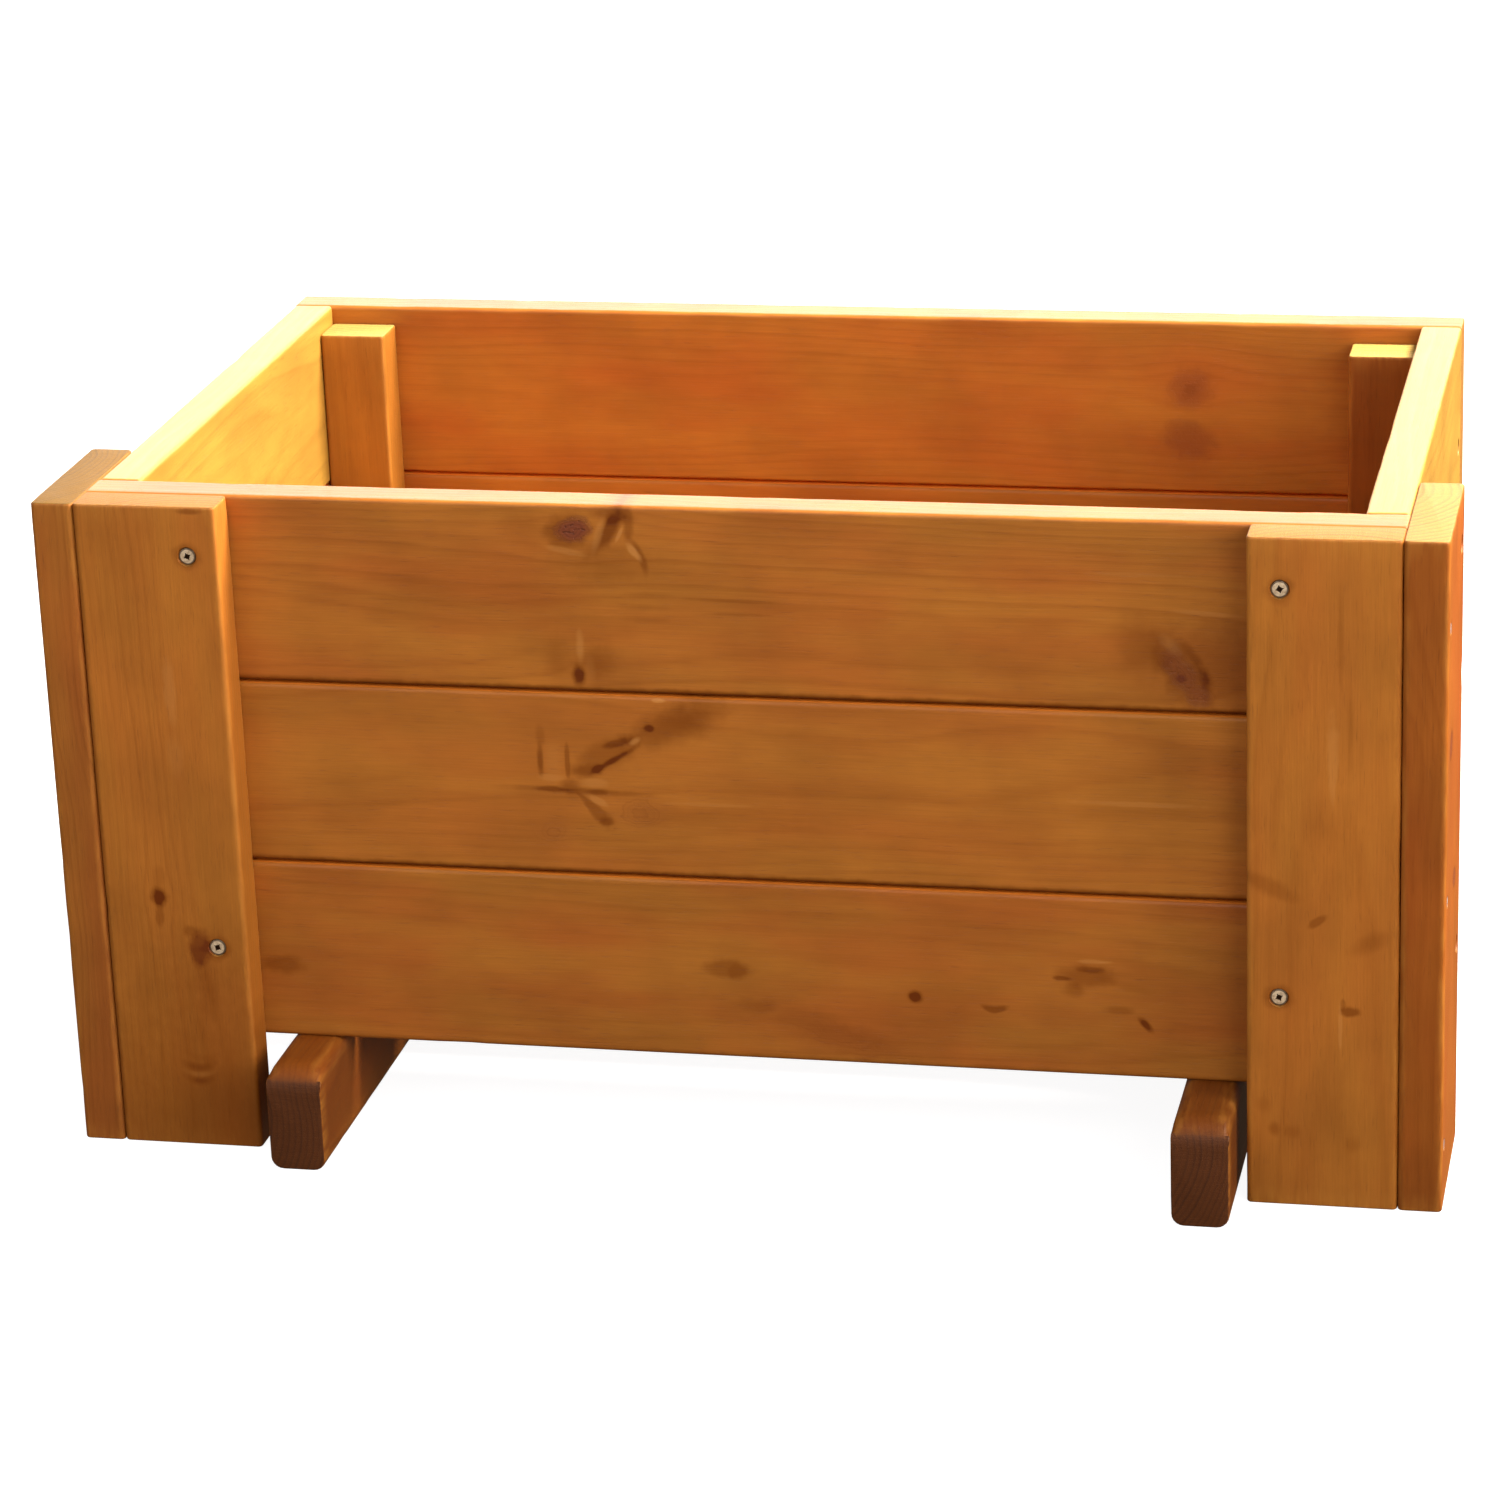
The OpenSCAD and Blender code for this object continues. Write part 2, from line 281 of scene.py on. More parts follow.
def stained_wood(n, given, late, fibre, pore):
    """The clear wood's colour, and how much its edges are worn."""
    place = given["Place"]
    blotch = n.noise(given["Bent"], (0.0075, 0.028, 0.028), detail=3)
    cloud = n.noise(place, (0.018, 0.030, 0.030), detail=4)
    redness = n.math("MULTIPLY", n.fade(blotch, 0.35, 0.68), given["Red"])
    colour = n.mix(redness, EARLY, EARLY_RED)
    colour = n.mix(n.math("MULTIPLY", late, given["Contrast"]), colour, LATE)
    shade = n.math("MULTIPLY_ADD", n.math("SUBTRACT", fibre, 0.5), 0.34, 1.0)
    shade = n.math("MULTIPLY", shade, n.fade(cloud, 0.25, 0.75, 0.86, 1.10))
    shade = n.math("MULTIPLY", shade, n.math("MULTIPLY_ADD", pore, -0.16, 1.0))
    # painted shade: the wood gets darker towards the ground
    shade = n.math("MULTIPLY", shade, n.fade(given["Up"], GROUND_SHADE_LOW, GROUND_SHADE_HIGH, GROUND_SHADE, 1.0))
    colour = n.vector("MULTIPLY", colour, n.join(shade, shade, shade))
    colour = n.vector("MULTIPLY", colour, given["Stain"])
    edge = n.add("ShaderNodeAttribute", attribute_name="edge").outputs["Fac"]
    patches = n.noise(place, (0.05, 0.3, 0.3), detail=3)
    worn = n.math("MULTIPLY", edge, n.fade(patches, 0.35, 0.7, 0.04, 0.35))
    colour = n.mix(worn, colour, WORN)
    bare = n.add("ShaderNodeAttribute", attribute_name="bare").outputs["Fac"]
    return n.mix(bare, colour, BARE_BRIGHTENED), worn


def lay_marks(n, place, colour, late, marks):
    """Lays the marks over the grain. Returns the colour, the dark marks and the hearts' cracks."""
    dark, heart, pale = marks
    dark = n.math("MULTIPLY", dark, DARKNESS, clamp=True)
    colour = n.mix(dark, colour, n.mix(n.fade(dark, 0.8, 1.0), BROWN, DEEP_BROWN))
    cracks = n.fade(n.noise(place, (0.55, 0.55, 0.1), detail=3), 0.54, 0.66)
    crack = n.math("MULTIPLY", cracks, heart)
    knot_shade = n.math("MULTIPLY_ADD", late, -0.25, n.math("MULTIPLY_ADD", crack, -0.25, 1.05))
    knot = n.vector("MULTIPLY", HEART[:3], n.join(knot_shade, knot_shade, knot_shade))
    colour = n.mix(heart, colour, knot)
    return n.mix(pale, colour, PALE), dark, crack


def end_grain(n, given, late):
    """How far the surface looks along the grain, the colour there, specks and saw marks."""
    place = given["Place"]
    normal = n.add("ShaderNodeTexCoord").outputs["Normal"]
    along = n.math("ABSOLUTE", n.vector("DOT_PRODUCT", normal, given["Grain axis"]))
    end = n.fade(along, 0.55, 0.92)
    speck = n.noise(place, 2.2, detail=2)
    saw = n.noise(place, (0.2, 1.8, 0.12), detail=2)
    shade = n.math("MULTIPLY_ADD", late, -0.42, n.math("MULTIPLY_ADD", speck, 0.45, 0.78))
    shade = n.math("MULTIPLY", shade, n.math("MULTIPLY_ADD", saw, 0.3, 0.86))
    cut = n.vector("MULTIPLY", given["End tone"], n.join(shade, shade, shade))
    return end, cut, speck, saw


def make_pine_group():
    """Stained pine from a place along the board: growth rings, fibres, knots and end grain."""
    group, n, given, result = new_group(
        "pine",
        {"Place": "Vector", "Bent": "Vector", "Pith": "Vector", "Spacing": "Float",
         "Slope": "Float", "Contrast": "Float", "Red": "Float", "Grain axis": "Vector",
         "Stain": "Color", "End tone": "Color", "Up": "Float", "Depth": "Float", "Marks": "Color"},
        {"Colour": "Color", "Roughness": "Float", "Height": "Float"})
    place = given["Place"]
    marks = n.split(given["Marks"])
    late = late_wood(n, given, marks[1])
    fibre = n.noise(place, (0.030, 1.3, 1.3), detail=4, roughness=0.65)
    pore = n.fade(n.noise(place, (0.09, 2.4, 2.4), detail=1), 0.66, 0.74)
    colour, worn = stained_wood(n, given, late, fibre, pore)
    colour, dark, crack = lay_marks(n, place, colour, late, marks)
    end, cut, speck, saw = end_grain(n, given, late)
    n.put(result["Colour"], n.mix(end, colour, cut))

    rough = n.math("MULTIPLY_ADD", fibre, 0.16, BASE_ROUGHNESS)
    rough = n.math("MULTIPLY_ADD", late, -0.05, rough)
    rough = n.math("MULTIPLY_ADD", end, 0.26, rough)
    n.put(result["Roughness"], n.math("MULTIPLY_ADD", worn, 0.1, rough, clamp=True))

    height = n.math("MULTIPLY", late, 0.05)
    height = n.math("MULTIPLY_ADD", fibre, 0.09, height)
    height = n.math("MULTIPLY_ADD", pore, -0.06, height)
    height = n.math("MULTIPLY_ADD", crack, -0.25, height)
    height = n.math("MULTIPLY_ADD", dark, -0.10, height)
    sawn = n.math("MULTIPLY", end, n.math("ADD", speck, saw))
    height = n.math("MULTIPLY_ADD", sawn, 0.16, height)
    n.put(result["Height"], height)
    return group


MARK_GROUP = make_mark_group()
SWERVE_GROUP = make_swerve_group()
PINE_GROUP = make_pine_group()

# A mark's middle from the board's low corner and its radii in mm, turned by degrees. dark,
# heart and pale are its strengths, soft the width of its edge in radii, bend how far its ends
# curve up and taper how fast it widens towards +u, both in radii. swerve bends the grain round it.
Mark = namedtuple("Mark", "u v ru rv turn dark heart pale soft bend taper swerve",
                  defaults=(0, 0, 0, 0, 0.4, 0, 0, 0))

# How a board was cut: the pith's place across it and below it in mm, ring spacing in mm, slope
# of the rings along the board, contrast of the rings, share of red, colour by which the board's
# stain differs from the others', and colour of its end grain.
Cut = namedtuple("Cut", "pith_v pith_w spacing slope contrast red stain end_tone",
                 defaults=(NO_STAIN, END_GRAIN))
# Marks with a heart at least this strong show a knot's rings
HEART_FROM = 0.3


def add_marks(n, place, marks):
    """Lays the marks over each other and returns the bent place and the channels."""
    wobble = n.math("MULTIPLY_ADD", n.noise(place, (0.15, 0.15, 0.02), detail=3), 0.9, -0.45)
    bent = place
    chain = {"Place": place, "Depth": 0.0, "Marks": (0, 0, 0, 1)}
    for m in marks:
        if m.swerve:
            bent = n.add("ShaderNodeGroup", {
                "Place": bent, "Centre": (m.u, m.v, 0),
                "Size": (2.0 * m.ru, m.swerve * m.rv, FAR)}, SWERVE_GROUP).outputs[0]
        node = n.add("ShaderNodeGroup", {
            "Wobble": wobble, "Centre": (m.u, m.v, 0), "Size": (m.ru, m.rv, FAR),
            "Turn": math.radians(-m.turn), "Bend": -m.bend, "Taper": m.taper,
            "Sharp": 0.5 / m.soft, "Amounts": (m.dark, m.heart, m.pale, 1),
            "Is heart": float(m.heart > HEART_FROM), **chain}, MARK_GROUP)
        chain = {key: node.outputs[key] for key in chain}
    return bent, chain["Depth"], chain["Marks"]


def pine(name, low, axes, cut, marks):
    """A board's material. low is its low corner, axes the frame axes of u, v and w."""
    material, n, surface = new_material(name)
    in_frame = n.vector("MULTIPLY", n.add("ShaderNodeTexCoord").outputs["Object"], (1 / MM,) * 3)
    parts = n.split(n.vector("SUBTRACT", in_frame, tuple(c / MM for c in low)))
    place = n.join(*(parts[a] for a in axes))
    bent, depth, mark_amounts = add_marks(n, place, marks)
    axis = [0.0, 0.0, 0.0]
    axis[axes[0]] = 1.0
    shift = (random.uniform(0, 900), 0, 0)
    wood = n.add("ShaderNodeGroup", {
        "Place": n.vector("ADD", place, shift), "Bent": n.vector("ADD", bent, shift),
        "Pith": (shift[0], cut.pith_v, cut.pith_w), "Spacing": cut.spacing, "Slope": cut.slope,
        "Contrast": cut.contrast, "Red": cut.red, "Grain axis": axis, "Stain": cut.stain,
        "End tone": cut.end_tone, "Up": n.split(in_frame)[2], "Depth": depth,
        "Marks": mark_amounts}, PINE_GROUP).outputs
    bump = n.add("ShaderNodeBump", {"Height": wood["Height"], "Distance": MM})
    n.put(surface["Base Color"], wood["Colour"])
    n.put(surface["Roughness"], wood["Roughness"])
    n.put(surface["Normal"], bump.outputs[0])
    surface["Specular IOR Level"].default_value = 0.24
    surface["Coat Weight"].default_value = 0.03
    surface["Coat Roughness"].default_value = 0.35
    return material


# ---- board meshes ----

GRID = 8 * MM
SUPPORT = 1.2 * MM
ARC_STEPS = 5
END_ROUND = 0.9 * MM
# Unevenness of planed faces in mm, depth of dings in mm, the noise level where they start, and
# how many of each there are in a metre
WEAR, WEAR_PER_M = 0.06, 22
DING, DING_START, DING_PER_M = 0.9, 0.28, 45


def straight(points, end):
    """Runs from the outline's last point to end, with a support point close to each."""
    a, b = Vector(points[-1]), Vector(end)
    length = (b - a).length
    if length <= 3 * SUPPORT:
        points.append(tuple(b))
        return
    steps = max(1, round((length - 2 * SUPPORT) / GRID))
    stops = [SUPPORT + (length - 2 * SUPPORT) * i / steps for i in range(steps + 1)] + [length]
    points += [tuple(a.lerp(b, s / length)) for s in stops]


def arc(points, centre, r, start):
    """A quarter turn to the left, from the angle start in degrees, after its first point."""
    for i in range(1, ARC_STEPS + 1):
        angle = math.radians(start + 90 * i / ARC_STEPS)
        points.append((centre[0] + r * math.cos(angle), centre[1] + r * math.sin(angle)))


def outline(t, h, r, groove=None, tongue=None):
    """Cross-section, anticlockwise: t thick, h high, long edges rounded by r.
    groove is cut into the low edge and tongue stands on the high one, as (thickness, length)."""
    points = [(r, 0.0)]
    if groove:
        left, right = (t - groove[0]) / 2, (t + groove[0]) / 2
        points += [(left, 0.0), (left, groove[1]), (right, groove[1]), (right, 0.0), (t - r, 0.0)]
    else:
        straight(points, (t - r, 0.0))
    arc(points, (t - r, r), r, -90)
    straight(points, (t, h - r))
    arc(points, (t - r, h - r), r, 0)
    if tongue:
        left, right = (t - tongue[0]) / 2, (t + tongue[0]) / 2
        points += [(right, h), (right, h + tongue[1]), (left, h + tongue[1]), (left, h), (r, h)]
    else:
        straight(points, (r, h))
    arc(points, (r, h - r), r, 90)
    straight(points, (0.0, r))
    arc(points, (r, r), r, 180)
    return points[:-1]


def inward_normals(points):
    """Each point's inward direction, long enough to inset both of its edges by 1."""
    result = []
    for i, point in enumerate(points):
        p, a, b = Vector(point), Vector(points[i - 1]), Vector(points[(i + 1) % len(points)])
        before = (p - a).normalized()
        after = (b - p).normalized()
        na, nb = Vector((-before.y, before.x)), Vector((-after.y, after.x))
        result.append((na + nb) / (1 + na.dot(nb)))
    return result


def stations(length, r):
    """Places along a bar and the inset there, which rounds its ends."""
    ends = [(r * (1 - math.sin(math.radians(a))), r * (1 - math.cos(math.radians(a))))
            for a in (90, 60, 30, 0)]
    steps = max(2, round((length - 2 * r - 2 * SUPPORT) / GRID))
    inner = [r + SUPPORT + (length - 2 * r - 2 * SUPPORT) * i / steps for i in range(steps + 1)]
    return ends + [(u, 0.0) for u in inner] + [(length - u, inset) for u, inset in reversed(ends)]


def wear(place, seed):
    """How far a planed surface lies below its true plane, in metres."""
    p = place + Vector((seed, 0, 0))
    return (WEAR + WEAR * noise.noise(p * WEAR_PER_M)) * MM


def ding(place, seed):
    """How far a long edge is knocked back, in metres."""
    p = place + Vector((0, seed, 0))
    return DING * MM * max(0.0, noise.noise(p * DING_PER_M) - DING_START)


def skin(bm, rings):
    """Joins the rings of vertices into a closed bar."""
    for one, two in zip(rings, rings[1:]):
        for i in range(len(one)):
            bm.faces.new((one[i - 1], one[i], two[i], two[i - 1]))
    bm.faces.new(rings[0])
    bm.faces.new(rings[-1][::-1])
    bmesh.ops.recalc_face_normals(bm, faces=bm.faces)


def bar_mesh(name, points, length, to_frame, seed, r_edge, top=None):
    """A bar along u with the given cross-section. to_frame turns (u, a, b) into the frame.
    top(u), where given, is how high the bar may reach at u."""
    normals = inward_normals(points)
    bm = bmesh.new()
    rings = []
    low_a, high_a = min(p[0] for p in points), max(p[0] for p in points)
    low_b, high_b = min(p[1] for p in points), max(p[1] for p in points)
    for u, inset in stations(length, END_ROUND):
        ring = []
        for (a, b), normal in zip(points, normals):
            corner = min(a - low_a, high_a - a) + min(b - low_b, high_b - b)
            place = Vector((u, a, b))
            depth = inset + wear(place, seed)
            if corner < r_edge:
                depth += ding(place, seed)
            a, b = a + normal.x * depth, b + normal.y * depth
            if top:
                b = min(b, top(u) - inset)
            ring.append(bm.verts.new(to_frame(u, a, b)))
        rings.append(ring)
    skin(bm, rings)
    mesh = bpy.data.meshes.new(name)
    bm.to_mesh(mesh)
    bm.free()
    return mesh


# ---- fasteners ----

SCREW_HEAD_R, SCREW_RIM, SCREW_HEAD_T, SCREW_R = 4.0 * MM, 0.3 * MM, 2.4 * MM, 2.0 * MM
SCREW_L, SCREW_TIP, SCREW_SINK = 35 * MM, 5 * MM, 0.6 * MM
NAIL_HEAD_R, NAIL_HEAD_T, NAIL_R = 3.0 * MM, 1.0 * MM, 1.4 * MM
NAIL_L, NAIL_TIP, NAIL_SINK = 50 * MM, 4 * MM, 0.15 * MM
# A cross recess: radius of its wings and of the round hole between them at the top, and its depth
RECESS_R, RECESS_HOLE_R, RECESS_DEPTH = 2.0 * MM, 1.25 * MM, 1.9 * MM
RECESS_TAPER = 0.6
PLAY = 0.05 * MM
# Width of the band of painted shade and dirt round a screw's head, and how far below a recess's
# mouth the painted shade and dirt begin
SHADED_RIM = 0.65 * MM
SHADE_STEP = 0.12 * MM
SEGMENTS = 32
# How far the cutter of a hole reaches above the head
ABOVE = 3 * MM

# Profiles (radius, height), from the axis at the top to the axis at the tip
SCREW = [(0, 0), (SCREW_HEAD_R - SHADED_RIM - SHADE_STEP, 0),
         (SCREW_HEAD_R - SHADED_RIM, -0.02 * MM), (SCREW_HEAD_R - 0.15 * MM, -0.05 * MM),
         (SCREW_HEAD_R, -0.15 * MM), (SCREW_HEAD_R, -SCREW_RIM), (SCREW_R, -SCREW_HEAD_T),
         (SCREW_R, SCREW_TIP - SCREW_L), (0, -SCREW_L)]
SCREW_HOLE = [(0, ABOVE), (SCREW_HEAD_R + 1.6 * MM, ABOVE), (SCREW_HEAD_R + 0.3 * MM, -SCREW_RIM),
              (SCREW_R + PLAY, -SCREW_HEAD_T - PLAY), (SCREW_R + PLAY, SCREW_TIP - SCREW_L),
              (0, -SCREW_L - PLAY)]
NAIL = [(0, 0), (NAIL_HEAD_R - 0.4 * MM, -0.05 * MM), (NAIL_HEAD_R, -0.3 * MM),
        (NAIL_HEAD_R, -NAIL_HEAD_T), (NAIL_R, -NAIL_HEAD_T), (NAIL_R, NAIL_TIP - NAIL_L),
        (0, -NAIL_L)]
NAIL_HOLE = [(0, ABOVE), (NAIL_HEAD_R + 0.2 * MM, ABOVE),
             (NAIL_HEAD_R + 0.1 * MM, -NAIL_HEAD_T - PLAY), (NAIL_R + PLAY, -NAIL_HEAD_T - PLAY),
             (NAIL_R + PLAY, NAIL_TIP - NAIL_L), (0, -NAIL_L - PLAY)]
# Spacing of the low pair of corner nails, and of the nails from the middle of a slat
LEG_NAIL_STEP = 120 * MM
SLAT_NAIL_DY = 20 * MM
SLATS = 4

Fastener = namedtuple("Fastener", "group place way kind turn")


def revolve(bm, profile, matrix, ragged=0.0, seed=0.0):
    """A closed turned shape. ragged breaks up its uppermost rings' radius, as torn fibres do."""
    rings = []
    for level, (r, z) in enumerate(profile):
        if r == 0:
            rings.append([bm.verts.new(matrix @ Vector((0, 0, z)))])
            continue
        ring = []
        for i in range(SEGMENTS):
            angle = 2 * math.pi * i / SEGMENTS
            tear = 1.0
            if ragged and level < 3:
                spot = Vector((math.cos(angle), math.sin(angle), seed))
                tear += ragged * (noise.noise(spot * 1.3) + 0.7 * noise.noise(spot * 4))
            x, y = r * tear * math.cos(angle), r * tear * math.sin(angle)
            ring.append(bm.verts.new(matrix @ Vector((x, y, z))))
        rings.append(ring)
    for one, two in zip(rings, rings[1:]):
        for i in range(SEGMENTS):
            corners = [one[i % len(one)], one[(i + 1) % len(one)],
                       two[(i + 1) % len(two)], two[i % len(two)]]
            bm.faces.new(list(dict.fromkeys(corners)))
    bmesh.ops.recalc_face_normals(bm, faces=bm.faces)


def mesh_of(name, build):
    """A mesh filled by build(bm)."""
    bm = bmesh.new()
    build(bm)
    mesh = bpy.data.meshes.new(name)
    bm.to_mesh(mesh)
    bm.free()
    return mesh


def new_object(name, mesh):
    piece = bpy.data.objects.new(name, mesh)
    bpy.context.scene.collection.objects.link(piece)
    return piece


def cut_away(piece, cutter_mesh):
    """Takes the cutter's shape out of the piece's mesh for good."""
    cutter = new_object("cutter", cutter_mesh)
    modifier = piece.modifiers.new("cut", "BOOLEAN")
    modifier.operation, modifier.solver, modifier.object = "DIFFERENCE", "EXACT", cutter
    bpy.context.view_layer.update()
    evaluated = piece.evaluated_get(bpy.context.evaluated_depsgraph_get())
    result = bpy.data.meshes.new_from_object(evaluated)
    piece.modifiers.clear()
    old, piece.data = piece.data, result
    result.name = piece.name
    bpy.data.meshes.remove(old)
    bpy.data.objects.remove(cutter)
    bpy.data.meshes.remove(cutter_mesh)


def driven(fastener, sink):
    """The frame of a fastener whose head is sunk into the wood: its -Z points along its way."""
    aim = Vector(fastener.way).to_track_quat("-Z", "Y").to_matrix().to_4x4()
    place = Matrix.Translation(Vector(fastener.place) + Vector(fastener.way) * sink)
    return place @ aim @ Matrix.Rotation(fastener.turn, 4, "Z")


def even(low, high, count):
    return [low + (high - low) * i / (count - 1) for i in range(count)]


def fastener_group(name, kind, places):
    """The fasteners of one CAD node, each turned at random about its axis."""
    return [Fastener(name, Vector(place), Vector(way), kind, random.uniform(0, math.pi))
            for place, way in places]


def axes_of(name, r):
    """The group's box, moved in from its fasteners' heads of radius r to their axes."""
    low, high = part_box(name)
    inset = Vector((r, r, r))
    return low + inset, high - inset


def list_leg_fasteners():
    a, b = axes_of("leg_face_screws", SCREW_HEAD_R)
    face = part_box("left_leg_face_board")[0].y
    found = fastener_group(
        "leg_face_screws", "screw",
        [((x, face, z), (0, 1, 0)) for x in (a.x, b.x) for z in (a.z, b.z)])

    a, b = axes_of("leg_side_screws", SCREW_HEAD_R)
    sides = ((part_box("left_leg_side_board")[0].x, (1, 0, 0)),
             (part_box("right_leg_side_board")[1].x, (-1, 0, 0)))
    found += fastener_group("leg_side_screws", "screw",
                            [((x, a.y, z), way) for x, way in sides for z in (a.z, b.z)])

    a, b = axes_of("leg_corner_nails", NAIL_HEAD_R)
    heights = [a.z, a.z + LEG_NAIL_STEP, b.z]
    return found + fastener_group("leg_corner_nails", "nail",
                                  [((x, a.y, z), way) for x, way in sides for z in heights])


def list_batten_screws(ends):
    a, b = axes_of("back_batten_screws", SCREW_HEAD_R)
    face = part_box("back_board_top")[1].y
    found = fastener_group(
        "back_batten_screws", "screw",
        [((x, face, z), (0, -1, 0)) for x in (a.x, b.x) for z in even(a.z, b.z, 3)])
    a, b = axes_of("end_batten_screws", SCREW_HEAD_R)
    return found + fastener_group(
        "end_batten_screws", "screw",
        [((x, a.y, z), way) for x, way in ends for z in even(a.z, b.z, 3)])


def list_slat_nails(ends):
    a, b = axes_of("slat_end_nails", NAIL_HEAD_R)
    found = fastener_group("slat_end_nails", "nail",
                           [((x, y, a.z), way) for x, way in ends for y in even(a.y, b.y, 4)])
    a, b = axes_of("slat_skid_nails", NAIL_HEAD_R)
    for i in range(1, SLATS + 1):
        slat_low, slat_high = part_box(f"floor_slat_{i}")
        middle = (slat_low.y + slat_high.y) / 2
        found += fastener_group(
            "slat_skid_nails", "nail",
            [((x, middle + dy, slat_high.z), (0, 0, -1)) for x in (a.x, b.x)
             for dy in (-SLAT_NAIL_DY, SLAT_NAIL_DY)])
    return found


def list_fasteners():
    """Every screw and nail that shows. A place is where the axis meets the wood's face."""
    ends = ((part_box("left_end_board_top")[0].x, (1, 0, 0)),
            (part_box("right_end_board_top")[1].x, (-1, 0, 0)))
    return list_leg_fasteners() + list_batten_screws(ends) + list_slat_nails(ends)


# How metallic the plating looks, and the colour of the painted shade and dirt on it
METALLIC = 0.5
SHADE_AND_GRIME_COLOUR = (0.050, 0.016, 0.003, 1)


def plated(name, bright, dull):
    """Zinc-plated steel: bright plating with dull, stained patches and fine scratches."""
    material, n, surface = new_material(name)
    place = n.vector("MULTIPLY", n.add("ShaderNodeTexCoord").outputs["Object"], (1 / MM,) * 3)
    patch = n.fade(n.noise(place, 0.55, detail=4), 0.35, 0.7)
    scratch = n.noise(place, (7.0, 1.0, 1.0), detail=2)
    shade_and_grime = n.add("ShaderNodeAttribute", attribute_name="shade_and_grime").outputs["Fac"]
    # painted shade and dirt darken the recess and the rim of a screw's head
    n.put(surface["Base Color"], n.mix(shade_and_grime, n.mix(patch, bright, dull), SHADE_AND_GRIME_COLOUR))
    rough = n.math("MULTIPLY_ADD", patch, 0.2, 0.32)
    n.put(surface["Roughness"], n.math("MULTIPLY_ADD", scratch, 0.25, rough))
    bump = n.add("ShaderNodeBump", {"Height": scratch, "Distance": 0.02 * MM})
    n.put(surface["Normal"], bump.outputs[0])
    surface["Metallic"].default_value = METALLIC
    return material


def cross_plug(bm, matrix):
    """The shape of a screwdriver's cross tip: a tapered plug whose radius has four wings."""
    rings = []
    for z, scale in ((0.5 * MM, 1.0), (-SHADE_STEP, 0.99), (-RECESS_DEPTH, RECESS_TAPER)):
        ring = []
        for i in range(2 * SEGMENTS):
            angle = math.pi * i / SEGMENTS
            wing = max(0.0, math.cos(4 * angle)) ** 3
            r = scale * (RECESS_HOLE_R + (RECESS_R - RECESS_HOLE_R) * wing)
            place = Vector((r * math.cos(angle), r * math.sin(angle), z))
            ring.append(bm.verts.new(matrix @ place))
        rings.append(ring)
    skin(bm, rings)


def shade_and_grime_at(place, fasteners):
    """Painted shade and dirt in the recess and round the rim of the nearest screw's head."""
    nearest = min(fasteners, key=lambda f: (f.place - place).length)
    local = driven(nearest, SCREW_SINK).inverted() @ place
    r = math.hypot(local.x, local.y)
    in_recess = r < RECESS_R and -RECESS_DEPTH - PLAY < local.z < -SHADE_STEP / 2
    on_rim = r > SCREW_HEAD_R - SHADED_RIM - PLAY and local.z > -SCREW_HEAD_T
    return 1.0 if in_recess else 0.8 * on_rim


def fastener_piece(name, fasteners, material):
    """All screws or nails of one group as one mesh."""

    def build(bm):
        for f in fasteners:
            sink, profile = (SCREW_SINK, SCREW) if f.kind == "screw" else (NAIL_SINK, NAIL)
            revolve(bm, profile, driven(f, sink))

    def build_recesses(bm):
        for f in fasteners:
            cross_plug(bm, driven(f, SCREW_SINK))

    piece = new_object(name + "_steel", mesh_of(name, build))
    if fasteners[0].kind == "screw":
        cut_away(piece, mesh_of("recesses", build_recesses))
        store(piece.data, "shade_and_grime", lambda place: shade_and_grime_at(place, fasteners))
    finish_piece(piece, name, material)


# Edges sharper than this, in degrees, aren't smoothed
SHARP = 35


def finish_piece(piece, node, material):
    """Shades the piece, gives it its material and puts it in its CAD node's place."""
    piece.data.materials.clear()
    piece.data.materials.append(material)
    piece.data.shade_smooth()
    piece.data.set_sharp_from_angle(angle=math.radians(SHARP))
    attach(piece, "root")
    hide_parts(node)


# ---- boards ----

TONGUE = (6.5 * MM, 6.0 * MM)
GROOVE = (6.9 * MM, 4.6 * MM)
# The stain ends this far inside the gap between two boards
JOINT_DEPTH = 0.3 * MM
ARRIS_R, LEG_ARRIS_R, SKID_R, SKID_NOSE_R = 2.0 * MM, 2.5 * MM, 6.0 * MM, 12.0 * MM

# Frame axes of a board's u (grain), v (width) and w (thickness)
ALONG_WALL = (X, Z, Y)
ALONG_END = (Y, Z, X)
UPRIGHT_FACE = (Z, X, Y)
UPRIGHT_SIDE = (Z, Y, X)
FLAT = (X, Y, Z)


def store(mesh, name, value_at):
    """Stores value_at(place) on each vertex, held between 0 and 1."""
    values = [min(1.0, max(0.0, value_at(vertex.co))) for vertex in mesh.vertices]
    mesh.attributes.new(name, "FLOAT", "POINT").data.foreach_set("value", values)


def store_edges(mesh, low, size, r):
    """Stores how close each vertex is to an edge of the board, for the worn stain there."""

    def closeness(place):
        near = sorted(min(place[i] - low[i], low[i] + size[i] - place[i]) for i in range(3))
        return 1 - (near[0] + near[1] - 0.5 * r) / (0.9 * r)

    store(mesh, "edge", closeness)


def store_joint(mesh, axis, bottom, top):
    """Stores 1 inside a joint, where a vertex lies below bottom or above top along the axis."""
    store(mesh, "bare", lambda place: float(place[axis] < bottom or place[axis] > top))


